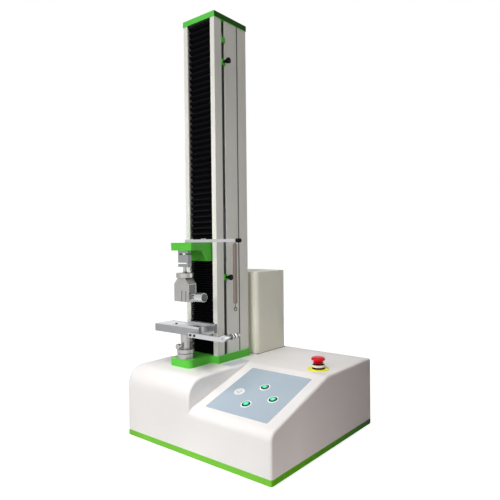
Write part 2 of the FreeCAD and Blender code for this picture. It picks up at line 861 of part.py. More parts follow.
def carriage():
    """A block on the guide rods, bored for the nut, with a striker in the slot that meets the stops."""
    top = crosshead_bottom + carriage_height
    right = axis_x + block_width / 2
    half = striker_width / 2
    striker = box(right - 1, column_right - striker_setback, slot_y - half, slot_y + half, crosshead_bottom,
                  top)
    low = crosshead_bottom - 1
    bores = [
        rod((rod_x, slot_y, low), Z_AXIS, rod_radius + free, carriage_height + 2),
        rod((axis_x, screw_y, low), Z_AXIS, nut_radius + running, nut_length + free + 1),
        rod((axis_x, screw_y, low), Z_AXIS, screw_radius + screw_relief, carriage_height + 2),
    ]
    return cut(fuse([block(crosshead_bottom, top, running), striker]), bores)


def ball_nut():
    bore, body, flange, t = screw_radius + running, nut_radius, nut_flange_radius, nut_flange_thickness
    profile = [(bore, -t), (flange, -t), (flange, 0), (body, 0), (body, nut_length), (bore, nut_length)]
    return turned(profile, (axis_x, screw_y, crosshead_bottom), Z_AXIS)


def load_cell():
    """An S-shaped beam: a block with two slots from opposite sides, each with a round end."""
    x0, x1 = axis_x - cell_width / 2, axis_x + cell_width / 2
    y0, y1 = load_y - cell_depth / 2, load_y + cell_depth / 2
    upper = arm_bottom - cell_slot_inset - cell_slot
    lower = cell_bottom + cell_slot_inset
    tools = []
    for z, outer, end in ((upper, x1 + 1, x1 - cell_slot_length), (lower, x0 - 1, x0 + cell_slot_length)):
        tools.append(box(min(outer, end), max(outer, end), y0 - 1, y1 + 1, z, z + cell_slot))
        tools.append(rod((end, y0 - 1, z + cell_slot / 2), Y_AXIS, cell_slot_end_radius, cell_depth + 2))
    return cut(box(x0, x1, y0, y1, cell_bottom, arm_bottom), tools)


def grip_stud():
    """The stud and the round collar on the grip, turned in one piece."""
    r, h, stud, flare = collar_radius, collar_height, stud_radius, stud_flare
    profile = [(0, 0), (r - 1, 0), (r, 1), (r, h - 1), (r - 1, h), (stud + flare, h), (stud, h + flare),
               (stud, h + stud_length), (0, h + stud_length)]
    return turned(profile, (axis_x, load_y, grip_top), Z_AXIS)


def grip_body():
    """The vise's frame: sloping shoulders and a cavity that is open below, in front and behind."""
    y0, z1, shoulder = load_y - grip_depth / 2, grip_top, grip_top - grip_shoulder_z
    ceiling = grip_bottom + cavity_height
    outline = [
        (grip_left, grip_bottom), (grip_left, shoulder), (grip_left + grip_shoulder_x, z1),
        (grip_right - grip_shoulder_x, z1), (grip_right, shoulder), (grip_right, grip_bottom),
        (cavity_right, grip_bottom), (cavity_right, ceiling), (fixed_face, ceiling),
        (fixed_face, grip_bottom),
    ]
    body = prism([(x, y0, z) for x, z in outline], V(0, grip_depth, 0))
    return body.cut(rod((cavity_right - 1, load_y, grip_screw_z), X_AXIS, grip_screw_radius + running,
                        grip_screw_wall + 2))


def moving_jaw():
    """The jaw, serrated on its clamping face and bored for the screw's tip."""
    y0, y1 = load_y - grip_depth / 2, load_y + grip_depth / 2
    top = grip_bottom + cavity_height - sliding
    teeth = int((top - grip_bottom) / jaw_groove_pitch)
    grooves = [box(jaw_left - 1, jaw_left + jaw_groove_depth, y0 - 1, y1 + 1, z, z + jaw_groove_pitch / 4)
               for z in (grip_bottom + (i + 0.5) * jaw_groove_pitch for i in range(teeth))]
    bore = rod((jaw_right - grip_tip_length - free, load_y, grip_screw_z), X_AXIS, grip_tip_radius + running,
               grip_tip_length + free + 1)
    return cut(box(jaw_left, jaw_right, y0, y1, grip_bottom, top), grooves + [bore])


def grip_screw():
    """The screw with its tip in the jaw, its neck outside the grip, and the round handle."""
    tip = jaw_right - grip_tip_length
    seat, neck = jaw_right + sliding, grip_right + grip_neck_gap
    head = neck + grip_neck_length
    end, r = head + handle_length, handle_radius
    profile = [
        (0, tip), (grip_tip_radius, tip), (grip_tip_radius, seat), (grip_screw_radius, seat),
        (grip_screw_radius, neck), (grip_neck_radius, neck), (grip_neck_radius, head), (r - 2, head),
        (r, head + 2), (r, end - 1), (r - 1, end), (r - 3, end), (r - 4, end - handle_dish),
        (0, end - handle_dish),
    ]
    return turned(profile, (0, load_y, grip_screw_z), X_AXIS)


def bar_screws(play=0.0):
    return [screw((x, load_y, arm_top + bar_height), Z_AXIS, depth, play)
            for x, depth in zip(bar_screw_xs, bar_screw_depths)]


def spring_bar():
    """The bar, with a pocket from below and a cross pin in it for the spring's eye."""
    half = bar_depth / 2
    bar = box(bar_left, bar_right, load_y - half, load_y + half, arm_top, arm_top + bar_height)
    half_x, half_y = spring_pocket_length / 2, spring_pocket_width / 2
    pocket = box(spring_x - half_x, spring_x + half_x, load_y - half_y, load_y + half_y, arm_top - 1,
                 arm_top + bar_height - spring_pocket_roof)
    pin = rod((spring_x, load_y - half_y - 1, spring_pin_z), Y_AXIS, spring_pin_radius, 2 * half_y + 2)
    return fuse([cut(bar, [pocket] + bar_screws(fixed)), pin])


def spring_bar_cap():
    r, length = bar_cap_radius, bar_cap_length
    profile = [(0, 0), (r, 0), (r, length - 1.5), (r - 1.5, length), (0, length)]
    return turned(profile, (bar_right, load_y, arm_top + bar_height / 2), X_AXIS)


def tension_spring():
    """A close-wound spring as a tube, with an eye on the bar's pin and a ring at its foot."""
    r, inner, length, taper = spring_radius, spring_radius - spring_wire, spring_length, spring_end_taper
    narrow = spring_eye_radius
    profile = [
        (0, 0), (narrow, 0), (r, -taper), (r, taper - length), (narrow, -length), (0, -length),
        (0, 2 * spring_wire - length), (inner, taper + spring_wire - length), (inner, -taper - spring_wire),
        (0, -2 * spring_wire),
    ]
    coil = turned(profile, (spring_x, load_y, spring_top), Z_AXIS)
    half, w = spring_eye_thickness / 2, spring_wire
    eye = rod((spring_x, load_y - half, spring_pin_z), Y_AXIS, spring_eye_radius, spring_eye_thickness)
    neck = box(spring_x - w, spring_x + w, load_y - half, load_y + half, spring_top - w, spring_pin_z)
    foot = spring_top - length
    stem = rod((spring_x, load_y, foot + w), V(0, 0, -1), w, spring_ring_drop - spring_ring_radius + w)
    ring = Part.makeTorus(spring_ring_radius, w, V(spring_x, load_y, foot - spring_ring_drop), Y_AXIS)
    bore = rod((spring_x, load_y - half - 1, spring_pin_z), Y_AXIS, spring_pin_radius + running, 2 * half + 2)
    return fuse([coil, neck, eye, stem, ring]).cut(bore)


# Peel fixture


def fixture_post():
    """A foot, a thread for the lock ring and the post, cross-bored for the pin."""
    thread_top = socket_height + thread_height
    profile = [(0, 0), (socket_radius, 0), (socket_radius, socket_height), (thread_radius, socket_height),
               (thread_radius, thread_top), (post_radius, thread_top), (post_radius, post_height),
               (0, post_height)]
    post = turned(profile, (axis_x, load_y, flange_top), Z_AXIS)
    return post.cut(rod((axis_x, load_y - socket_radius, flange_top + cross_pin_z), Y_AXIS,
                        cross_pin_radius + running, 2 * socket_radius))


def lock_ring():
    r, h, bore = ring_radius, ring_height, thread_radius + moulded
    profile = [(bore, 0), (r - 1, 0), (r, 1), (r, h - 1), (r - 1, h), (bore, h)]
    return turned(profile, (axis_x, load_y, flange_top + socket_height + ring_gap), Z_AXIS)


def cross_pin():
    r, head, h = cross_pin_radius, cross_pin_head_radius, cross_pin_head_length
    profile = [(0, -cross_pin_length), (r, -cross_pin_length), (r, 0), (head, 0), (head, h - 1),
               (head - 1, h), (0, h)]
    return turned(profile, (axis_x, load_y - cross_pin_front, flange_top + cross_pin_z), TOWARDS_FRONT)


def bar_fasteners(play=0.0):
    """The screws near the ends of the retaining bars, over the middle of the channel's walls."""
    z, offset = channel_top + bars_thickness, (channel_width - channel_wall) / 2
    xs = (bars_left + bars_screw_inset, channel_right - bars_screw_inset)
    return [screw((x, load_y + side * offset, z), Z_AXIS, bars_thickness + channel_screw_depth, play)
            for x in xs for side in (-1, 1)]


def arm_fasteners(play=0.0):
    z = channel_bottom + channel_floor / 2
    return [screw((arm_left + dx, arm_front, z), TOWARDS_FRONT, arm_thickness_y + channel_screw_depth, play)
            for dx in arm_screw_insets]


def fixture_screws():
    return bar_fasteners() + arm_fasteners()


def slide_channel():
    inner = channel_width / 2 - channel_wall
    outer = box(channel_left, channel_right, channel_front, channel_back, channel_bottom, channel_top)
    groove = box(channel_left - 1, channel_right + 1, load_y - inner, load_y + inner,
                 channel_bottom + channel_floor, channel_top + 1)
    return cut(outer, [groove] + bar_fasteners(fixed) + arm_fasteners(fixed))


def retaining_bars():
    """The bars on the channel's walls, which reach a little over the table."""
    z1 = channel_top + bars_thickness
    spans = ((channel_front, channel_front + bars_width), (channel_back - bars_width, channel_back))
    bars = [box(bars_left, channel_right, y0, y1, channel_top, z1) for y0, y1 in spans]
    return [cut(bar, bar_fasteners(fixed)) for bar in bars]


def sliding_table():
    half = channel_width / 2 - channel_wall - table_play
    x0 = channel_left - table_overhang
    return box(x0, x0 + table_length, load_y - half, load_y + half, channel_bottom + channel_floor + sliding,
               channel_top - sliding)


def pulley_arm():
    """A flat bar on the channel's front, with a round boss for the pulley's shaft."""
    bar = box(arm_left, pulley_x, arm_front, channel_front, arm_low, arm_high)
    boss = rod((pulley_x, arm_front, pulley_z), Y_AXIS, boss_radius, arm_thickness_y)
    bore = rod((pulley_x, arm_front - 1, pulley_z), Y_AXIS, shaft_radius + fixed, arm_thickness_y + 2)
    return cut(fuse([bar, boss]), [bore] + arm_fasteners(fixed))


def pulley_shaft():
    """The shaft, with two shoulders that keep the pulley in place and a collar at its end."""
    near = pulley_y - pulley_width / 2 - sliding - arm_front
    far = near + pulley_width + 2 * sliding
    r, shoulder, t = shaft_radius, shaft_radius + 1.5, shaft_shoulder
    collar, start = shaft_collar_radius, shaft_length - shaft_collar_width
    profile = [(0, 0), (r, 0), (r, near - t), (shoulder, near - t), (shoulder, near), (r, near), (r, far),
               (shoulder, far), (shoulder, far + t), (r, far + t), (r, start), (collar, start),
               (collar, shaft_length - 1), (collar - 1, shaft_length), (0, shaft_length)]
    return turned(profile, (pulley_x, arm_front, pulley_z), Y_AXIS)


def pulley():
    """A grooved cord pulley."""
    half, r, floor, flat = pulley_width / 2, pulley_radius, pulley_groove_radius, pulley_groove_width / 2
    bore, lip = shaft_radius + running, pulley_width / 8
    profile = [(bore, -half), (r, -half), (r, lip - half), (floor, -flat), (floor, flat), (r, half - lip),
               (r, half), (bore, half)]
    return turned(profile, (pulley_x, pulley_y, pulley_z), Y_AXIS)


def nodes():
    makers = [
        rubber_feet, base_plate, base_housing, control_panel, button_bezels, estop_disc, estop_collar,
        estop_head, column_flange, column_profile, column_corner, top_cap, guide_rods, screw_bearings,
        limit_rod, rod_clamp, ball_screw, timing_belt, motor, motor_shaft, motor_bracket,
        column_pedestal, rear_housing, control_unit, inlet_module, power_rocker, crosshead_bracket,
        carriage, ball_nut, load_cell, grip_stud, grip_body, moving_jaw, grip_screw, spring_bar,
        spring_bar_cap, tension_spring, fixture_post, lock_ring, cross_pin, fixture_screws,
        slide_channel, retaining_bars, sliding_table, pulley_arm, pulley_shaft, pulley,
    ]
    shapes = {maker.__name__: maker() for maker in makers}
    shapes["spring_bar_screws"] = bar_screws()
    shapes["bellows_upper"] = bellows(arm_top, column_top, upper_folds)
    shapes["bellows_lower"] = bellows(flange_top, crosshead_bottom, lower_folds)
    shapes["screw_pulley"] = belt_pulley(axis_x, screw_pulley_radius, screw_radius + fixed)
    shapes["motor_pulley"] = belt_pulley(motor_x, motor_pulley_radius, motor_shaft_radius + fixed)
    for place, z in (("upper", upper_stop_z), ("lower", lower_stop_z)):
        shapes[f"{place}_stop"] = stop_block(z)
        shapes[f"{place}_stop_knob"] = stop_knob(z)
    for name, (x, run) in button_places().items():
        shapes[name] = button_cap(x, run)
    return shapes


def main():
    os.makedirs("parts", exist_ok=True)
    for name, shape in nodes().items():
        if isinstance(shape, list):
            shape = Part.makeCompound(shape)
        shape.exportStep(f"parts/{name}.step")


main()
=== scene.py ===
"""Looks of the peel strength tester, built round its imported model. Lengths are in metres."""
import json
import math

import bmesh
import bpy
import numpy as np
from mathutils import Matrix, Vector


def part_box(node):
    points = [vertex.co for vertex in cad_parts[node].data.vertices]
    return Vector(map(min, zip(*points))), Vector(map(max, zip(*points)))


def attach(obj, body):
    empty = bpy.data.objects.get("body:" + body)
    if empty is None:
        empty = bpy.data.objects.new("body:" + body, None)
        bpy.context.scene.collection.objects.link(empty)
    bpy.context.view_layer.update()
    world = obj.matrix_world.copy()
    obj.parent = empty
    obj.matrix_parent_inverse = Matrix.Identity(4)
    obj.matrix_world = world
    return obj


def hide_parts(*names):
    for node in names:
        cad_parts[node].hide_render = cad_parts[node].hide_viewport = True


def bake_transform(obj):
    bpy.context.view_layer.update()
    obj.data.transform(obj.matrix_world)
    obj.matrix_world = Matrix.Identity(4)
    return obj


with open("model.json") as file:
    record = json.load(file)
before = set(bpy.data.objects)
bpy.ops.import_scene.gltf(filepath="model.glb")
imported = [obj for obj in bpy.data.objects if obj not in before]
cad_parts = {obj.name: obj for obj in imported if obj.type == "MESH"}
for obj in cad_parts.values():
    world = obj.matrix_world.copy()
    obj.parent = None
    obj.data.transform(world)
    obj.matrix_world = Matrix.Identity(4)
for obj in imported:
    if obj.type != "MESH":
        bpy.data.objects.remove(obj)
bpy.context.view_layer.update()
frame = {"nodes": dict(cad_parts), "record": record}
scene = bpy.context.scene

# Places that the solids also have
LOAD_Y = -0.1385
BASE_TOP = 0.198
CONSOLE_RISE, CONSOLE_RUN = 0.0743, 0.2445
SLOPE = math.atan2(CONSOLE_RISE, CONSOLE_RUN)
PANEL_NORMAL = Vector((0, -math.sin(SLOPE), math.cos(SLOPE)))
PANEL_POINT = Vector((0, -0.2174, 0.13335))
STOP_X, STOP_Y = 0.192, 0.047
SPRING_X = 0.060
ALONG_X, ALONG_Y, UP = (1, 0, 0), (0, 1, 0), (0, 0, 1)


# Surfaces

def surface(name, points, material, closed_u=False, closed_v=False, smooth=True):
    """A mesh of quads over a grid of points, points[i, j] at u = i, v = j. A closed way joins its last
    row or column to its first."""
    rows, columns = points.shape[:2]
    u = np.arange(rows if closed_u else rows - 1)
    v = np.arange(columns if closed_v else columns - 1)
    a, b = np.meshgrid(u, v, indexing="ij")
    a2, b2 = (a + 1) % rows, (b + 1) % columns
    quads = np.stack([a * columns + b, a2 * columns + b, a2 * columns + b2, a * columns + b2], -1)
    mesh = bpy.data.meshes.new(name)
    mesh.from_pydata(points.reshape(-1, 3).tolist(), [], quads.reshape(-1, 4).tolist())
    mesh.update()
    mesh.polygons.foreach_set("use_smooth", np.full(len(mesh.polygons), smooth))
    mesh.materials.append(material)
    piece = bpy.data.objects.new(name, mesh)
    scene.collection.objects.link(piece)
    return piece


def weld(piece):
    """Merges points that lie together, as at a pole, and turns every face outwards."""
    work = bmesh.new()
    work.from_mesh(piece.data)
    bmesh.ops.remove_doubles(work, verts=work.verts, dist=1e-6)
    bmesh.ops.recalc_face_normals(work, faces=work.faces)
    work.to_mesh(piece.data)
    work.free()
    return piece


def angles(count):
    """That many angles, evenly round a full turn."""
    return np.linspace(0, 2 * np.pi, count, endpoint=False)


def pole(point, count):
    """A row of one point, repeated, that closes the end of a surface once it is welded."""
    return np.tile(point, (1, count, 1))


def turned(name, profile, centre, axis, material, steps=64):
    """A profile of (radius, height) turned about an axis: the point at angle t is
    centre + radius (cos t e1 + sin t e2) + height e3, where e3 is the axis."""
    profile = np.asarray(profile, float)
    e3 = np.asarray(axis, float) / np.linalg.norm(axis)
    e1 = np.cross(e3, ALONG_Y if abs(e3[1]) < 0.9 else ALONG_X)
    e1 /= np.linalg.norm(e1)
    e2 = np.cross(e3, e1)
    angle = angles(steps)[:, None, None]
    ring = np.cos(angle) * e1 + np.sin(angle) * e2
    points = np.asarray(centre, float) + profile[None, :, :1] * ring + profile[None, :, 1:] * e3
    return weld(surface(name, points, material, closed_u=True))


def corner_curve(before, corner, after, reach_in, reach_out, steps):
    """The quadratic curve (1 - t)^2 a + 2 t (1 - t) corner + t^2 b, where a and b lie a reach before
    the corner and a reach after it."""
    t = np.linspace(0, 1, steps + 1)[:, None]
    to_before, to_after = before - corner, after - corner
    a = corner + to_before / np.linalg.norm(to_before) * reach_in
    b = corner + to_after / np.linalg.norm(to_after) * reach_out
    return (1 - t) ** 2 * a + 2 * t * (1 - t) * corner + t ** 2 * b


def rounded(profile, radius, steps=4):
    """A polyline whose inner corners are each replaced by a corner curve. Its reach is the radius, or
    less than half of a short side."""
    profile = np.asarray(profile, float)
    out = [profile[:1]]
    for before, corner, after in zip(profile[:-2], profile[1:-1], profile[2:]):
        reach_in = min(radius, 0.45 * np.linalg.norm(before - corner))
        reach_out = min(radius, 0.45 * np.linalg.norm(after - corner))
        out.append(corner_curve(before, corner, after, reach_in, reach_out, steps))
    out.append(profile[-1:])
    return np.concatenate(out)


def tube(name, path, radius, material, closed=False, sides=8):
    """A round wire along a path: rings path + radius (cos t e1 + sin t e2), which lie across the path's
    direction. e1 is square to the direction and to a fixed side that the direction never meets."""
    path = np.asarray(path, float)
    if closed:
        ahead, behind = np.roll(path, -1, 0), np.roll(path, 1, 0)
    else:
        ahead = np.concatenate([path[1:], path[-1:]])
        behind = np.concatenate([path[:1], path[:-1]])
    along = ahead - behind
    along /= np.linalg.norm(along, axis=1)[:, None]
    side = np.array((0.02, 1.0, 0.05)) if abs(along[:, 1]).max() < 0.9 else np.array((0.05, 0.02, 1.0))
    e1 = np.cross(along, side)
    e1 /= np.linalg.norm(e1, axis=1)[:, None]
    e2 = np.cross(along, e1)
    t = angles(sides)
    ring = np.cos(t)[None, :, None] * e1[:, None] + np.sin(t)[None, :, None] * e2[:, None]
    points = path[:, None] + radius * ring
    if closed:
        return weld(surface(name, points, material, closed_u=True, closed_v=True))
    points = np.concatenate([pole(path[0], sides), points, pole(path[-1], sides)])
    return weld(surface(name, points, material, closed_v=True))


def joined(name, pieces):
    """Several pieces made into one object."""
    bpy.ops.object.select_all(action="DESELECT")
    for piece in pieces:
        piece.select_set(True)
    bpy.context.view_layer.objects.active = pieces[0]
    bpy.ops.object.join()
    pieces[0].name = name
    return pieces[0]


def points_of(piece):
    """The places of a piece's points, a row each."""
    places = np.empty(3 * len(piece.data.vertices), np.float32)
    piece.data.vertices.foreach_get("co", places)
    return places.reshape(-1, 3).astype(float)


def point_attribute(piece, name, values):
    """Gives each point of a piece a value of its own, for a material to read by its name."""
    attribute = piece.data.attributes.new(name, "FLOAT", "POINT")
    attribute.data.foreach_set("value", np.asarray(values, np.float32).ravel())


# Materials

MIX_FIRST, MIX_SECOND, MIX_RESULT = 6, 7, 2  # a Mix node's colour sockets, whose names aren't their own
SIDE_NEAR, SIDE_FAR = -0.14, 0.25            # places along Y between which the right side's painted shade deepens
SIDE_EDGE = 0.01                             # width of the change from the inner faces' painted light to the right side's painted shade


def linear(red, green, blue):
    """Linear colour of a screen colour of 0 to 255, by the screen's own curve."""
    screen = np.array((red, green, blue)) / 255
    value = np.where(screen <= 0.04045, screen / 12.92, ((screen + 0.055) / 1.055) ** 2.4)
    return (*value.tolist(), 1.0)


def shade(colour, factor):
    """A colour made darker or lighter by a factor, up to 1."""
    return (*[min(c * factor, 1.0) for c in colour[:3]], 1.0)


class Finish:
    """A material and a short way to add its nodes."""

    def __init__(self, name, **sockets):
        self.material = bpy.data.materials.new(name)
        self.material.use_nodes = True
        self.tree = self.material.node_tree
        self.shader = self.tree.nodes["Principled BSDF"]
        self.place = self.add("ShaderNodeTexCoord").outputs["Object"]
        for socket, value in sockets.items():
            self.shader.inputs[socket.replace("_", " ")].default_value = value

    def add(self, kind, **settings):
        """A new node with its settings."""
        node = self.tree.nodes.new(kind)
        for key, value in settings.items():
            setattr(node, key, value)
        return node

    def link(self, start, end):
        """A link from one socket to another."""
        self.tree.links.new(start, end)

    def stretched(self, scale):
        """Object coordinates, stretched by a scale for each axis."""
        mapping = self.add("ShaderNodeMapping")
        mapping.inputs["Scale"].default_value = scale
        self.link(self.place, mapping.inputs["Vector"])
        return mapping.outputs["Vector"]

    def noise(self, scale, detail=2.0, place=None):
        """Noise at a scale per metre, or over a stretched place."""
        node = self.add("ShaderNodeTexNoise")
        node.inputs["Scale"].default_value = scale
        node.inputs["Detail"].default_value = detail
        self.link(place or self.place, node.inputs["Vector"])
        return node.outputs["Fac"]

    def part(self, vector, axis):
        """One of a vector's three parts."""
        parts = self.add("ShaderNodeSeparateXYZ")
        self.link(vector, parts.inputs["Vector"])
        return parts.outputs[axis]

    def facing(self, axis):
        """How far a face looks along X, Y or Z, from the piece's own normals: 0 to 1 near the axis."""
        normal = self.add("ShaderNodeTexCoord").outputs["Normal"]
        return self.spread(self.part(normal, axis), 0.0, 1.0, start=0.6, end=0.9)

    def along(self, axis):
        """The place along X, Y or Z, in metres."""
        return self.part(self.place, axis)

    def attribute(self, name):
        """One of the piece's own values."""
        return self.add("ShaderNodeAttribute", attribute_name=name).outputs["Fac"]

    def spread(self, value, low, high, start=0.3, end=0.7):
        """A value mapped from start..end to low..high. Without them, start and end are a noise's span."""
        node = self.add("ShaderNodeMapRange")
        for socket, number in (("From Min", start), ("From Max", end), ("To Min", low), ("To Max", high)):
            node.inputs[socket].default_value = number
        self.link(value, node.inputs["Value"])
        return node.outputs["Result"]

    def mix(self, factor, first, second):
        """Two colours, each given or from a socket, mixed by a factor: the first at 0, the second at 1."""
        node = self.add("ShaderNodeMix", data_type="RGBA")
        self.link(factor, node.inputs["Factor"])
        for socket, value in ((node.inputs[MIX_FIRST], first), (node.inputs[MIX_SECOND], second)):
            if isinstance(value, tuple):
                socket.default_value = value
            else:
                self.link(value, socket)
        return node.outputs[MIX_RESULT]

    def colour(self, value):
        """Gives the surface its colour."""
        self.link(value, self.shader.inputs["Base Color"])

    def rough(self, value):
        """Gives the surface its roughness."""
        self.link(value, self.shader.inputs["Roughness"])

    def bump(self, height, strength, depth):
        """Gives the surface a fine relief of a depth in metres."""
        node = self.add("ShaderNodeBump")
        node.inputs["Strength"].default_value = strength
        node.inputs["Distance"].default_value = depth
        self.link(height, node.inputs["Height"])
        self.link(node.outputs["Normal"], self.shader.inputs["Normal"])


def powder_coat(name, colour, rough=0.42, grain=620.0, strength=0.16, specular=0.28, side=None,
                side_shade_back=None, side_from=-1.0, inner=None):
    """Powder coat: a fine orange peel, faint clouds in the colour and a little unevenness in the gloss.
    The right-hand faces beyond a place along X can carry a painted shade, one colour at the front and
    another at the back, and those before it an inner colour, a painted light."""
    finish = Finish(name, Specular_IOR_Level=specular)
    cloud = finish.noise(7.0, detail=3.0)
    tone = finish.mix(finish.spread(cloud, 0.0, 1.0), shade(colour, 0.965), shade(colour, 1.02))
    # painted shade on the right-hand faces, deepening towards the back, and painted light on the inner faces
    if side:
        depth = finish.spread(finish.along("Y"), 0.0, 1.0, SIDE_NEAR, SIDE_FAR)
        beyond = finish.spread(finish.along("X"), 0.0, 1.0, side_from, side_from + SIDE_EDGE)
        own = finish.mix(beyond, inner or tone, finish.mix(depth, side, side_shade_back or side))
        tone = finish.mix(finish.facing("X"), tone, own)
    finish.colour(tone)
    finish.rough(finish.spread(finish.noise(38.0), rough - 0.05, rough + 0.06))
    finish.bump(finish.noise(grain, detail=1.0), strength, depth=0.00012)
    return finish.material


def machined(name, colour, rough, marks, metallic=1.0, strength=0.12, top=None, side=None):
    """Machined metal: fine tool marks over a faint change of tone. The marks' scale for each axis is
    small along them. Faces that look up can carry a lighter colour, a painted highlight, and faces that
    look right a darker one, a painted shade."""
    finish = Finish(name, Metallic=metallic)
    lines = finish.noise(1.0, detail=3.0, place=finish.stretched(marks))
    cloud = finish.noise(24.0)
    tone = finish.mix(finish.spread(lines, 0.0, 1.0), shade(colour, 0.90), shade(colour, 1.08))
    # painted highlight on the tops and painted shade on the right-hand faces
    for axis, own in (("Z", top), ("X", side)):
        if own:
            tone = finish.mix(finish.facing(axis), tone, own)
    finish.colour(finish.mix(finish.spread(cloud, 0.0, 0.35), tone, shade(colour, 0.93)))
    finish.rough(finish.spread(lines, rough - 0.06, rough + 0.08))
    finish.bump(lines, strength, depth=0.00006)
    return finish.material


def moulded(name, colour, rough, grain=900.0, strength=0.1, **sockets):
    """Moulded plastic or rubber: a fine spark texture and slight wear in the gloss."""
    finish = Finish(name, **sockets)
    cloud = finish.noise(30.0)
    finish.colour(finish.mix(finish.spread(cloud, 0.0, 1.0), shade(colour, 0.90), shade(colour, 1.08)))
    finish.rough(finish.spread(finish.noise(140.0), rough - 0.05, rough + 0.07))
    finish.bump(finish.noise(grain, detail=1.0), strength, depth=0.00008)
    return finish.material


def coated_cloth(name):
    """Black coated cloth: a plain weave in the bump, the product of two waves, and fold tips painted a
    little lighter, a painted highlight. The piece's own attribute says how near a point is to a tip."""
    threads_per_metre = 700.0
    finish = Finish(name, Specular_IOR_Level=0.05)
    tip = finish.attribute("tip")
    # fold tips painted lighter, a painted highlight
    tip_highlight = finish.mix(finish.spread(tip, 0.0, 1.0, start=0.0, end=1.0), linear(4, 4, 6), linear(52, 51, 58))
    cloud = finish.noise(60.0, detail=3.0)
    finish.colour(finish.mix(finish.spread(cloud, 0.0, 0.5), tip_highlight, linear(4, 4, 5)))
    finish.rough(finish.spread(finish.noise(220.0), 0.62, 0.78))
    weave = [finish.add("ShaderNodeTexWave", bands_direction=axis) for axis in ("X", "Z")]
    total = finish.add("ShaderNodeMath", operation="MULTIPLY")
    for wave, socket in zip(weave, total.inputs):
        wave.inputs["Scale"].default_value = threads_per_metre
        finish.link(finish.place, wave.inputs["Vector"])
        finish.link(wave.outputs["Fac"], socket)
    finish.bump(total.outputs["Value"], 0.2, depth=0.0001)
    return finish.material


def lit_lens(name, middle, edge, glow):
    """A translucent lens: lighter in its middle, with a glow of its own. The attribute is the radius
    over the lens's own."""
    finish = Finish(name, Specular_IOR_Level=0.5)
    radial = finish.attribute("radial")
    tone = finish.mix(finish.spread(radial, 0.0, 1.0, start=0.2, end=1.0), middle, edge)
    finish.colour(tone)
    finish.link(tone, finish.shader.inputs["Emission Color"])
    finish.shader.inputs["Emission Strength"].default_value = glow
    finish.rough(finish.spread(finish.noise(90.0), 0.18, 0.28))
    finish.bump(finish.noise(420.0, detail=1.0), 0.08, depth=0.0001)
    return finish.material


def metal_with_painted_reflections(name, dark, painted_highlight):
    """Turned metal with painted reflections: a painted highlight on the rims and a dark painted
    reflection in the grooves, by the piece's own value.
    """
    finish = Finish(name, Metallic=1.0)
    lines = finish.noise(1.0, detail=3.0, place=finish.stretched(TURNED_Y))
    rim = finish.spread(finish.attribute("rim"), 0.0, 1.0, start=0.0, end=1.0)
    tone = finish.mix(rim, dark, painted_highlight)
    finish.colour(finish.mix(finish.spread(lines, 0.0, 0.3), tone, shade(dark, 1.4)))
    finish.rough(finish.spread(lines, 0.20, 0.34))
    finish.bump(lines, 0.1, depth=0.00005)
    return finish.material


OFF_WHITE = linear(239, 236, 234)
COLUMN_WHITE = linear(236, 235, 227)
GREEN = linear(126, 204, 66)
COLUMN_GREEN = linear(90, 193, 64)
STEEL = linear(166, 165, 163)
ALUMINIUM = linear(150, 151, 152)
BRIGHT_METAL = linear(190, 190, 192)
BASE_RIGHT = 0.22  # place along X beyond which a face is the base's right side
ENAMEL = {"rough": 0.36, "grain": 480.0, "strength": 0.1}

# Scales of the tool marks for each axis: milled or sawn along one, turned about one, or without a way
MILLED_X, SAWN_Y, BRUSHED = (45.0, 900.0, 900.0), (900.0, 45.0, 900.0), (900.0, 60.0, 60.0)
TURNED_X, TURNED_Y, TURNED_Z = (1400.0, 60.0, 60.0), (60.0, 1400.0, 60.0), (60.0, 60.0, 1400.0)
DRAWN, GROUND, KNURLED = (900.0, 900.0, 900.0), (700.0, 700.0, 700.0), (500.0, 500.0, 500.0)

skins = {
    "white_paint": powder_coat("white_powder_coat", OFF_WHITE),
    "green_paint": powder_coat("green_enamel", COLUMN_GREEN, specular=0.08, **ENAMEL),
    "panel_grey": powder_coat("console_film", linear(174, 189, 201), rough=0.40, grain=1500.0, strength=0.06),
    "button_green": moulded("green_lens_body", linear(66, 200, 150), 0.25),
    "button_white": moulded("white_lens_body", linear(226, 228, 224), 0.28),
    "stop_red": moulded("stop_red_plastic", linear(220, 16, 36), 0.3, strength=0.05, Specular_IOR_Level=0.2),
    "stop_yellow": moulded("stop_yellow_plastic", linear(255, 246, 40), 0.42, Specular_IOR_Level=0.2),
    "black_plastic": moulded("black_moulding", linear(9, 9, 10), 0.46, Specular_IOR_Level=0.06),
    "feet_rubber": moulded("foot_rubber", linear(28, 28, 28), 0.75, grain=500.0, strength=0.25),
    "bellows_cloth": coated_cloth("black_coated_cloth"),
    "machined_steel": machined("turned_steel", STEEL, 0.33, TURNED_Z),
    # the milled aluminium's tops are painted lighter, a painted highlight
    "machined_aluminium": machined("milled_aluminium", ALUMINIUM, 0.40, MILLED_X, top=linear(214, 216, 218)),
    "structural_steel": powder_coat("primed_steel", linear(120, 122, 124), rough=0.6, grain=300.0),
    "motor_black": powder_coat("motor_enamel", linear(32, 32, 34), rough=0.45),
    "spring_steel": machined("drawn_wire", linear(134, 122, 114), 0.34, DRAWN),
    "belt_rubber": moulded("belt_moulding", linear(26, 26, 26), 0.7),
    "grey_plastic": moulded("grey_moulding", linear(150, 152, 156), 0.5),
}
column_paint = powder_coat("column_powder_coat", COLUMN_WHITE)
# the bright aluminium's tops are painted lighter, a painted highlight
bright_aluminium = machined("bright_aluminium", BRIGHT_METAL, 0.36, MILLED_X, top=linear(226, 227, 229))
bright_steel = machined("bright_turned_steel", BRIGHT_METAL, 0.28, TURNED_X)
black_steel = machined("blackened_steel", linear(40, 40, 42), 0.5, TURNED_Z, metallic=0.5)
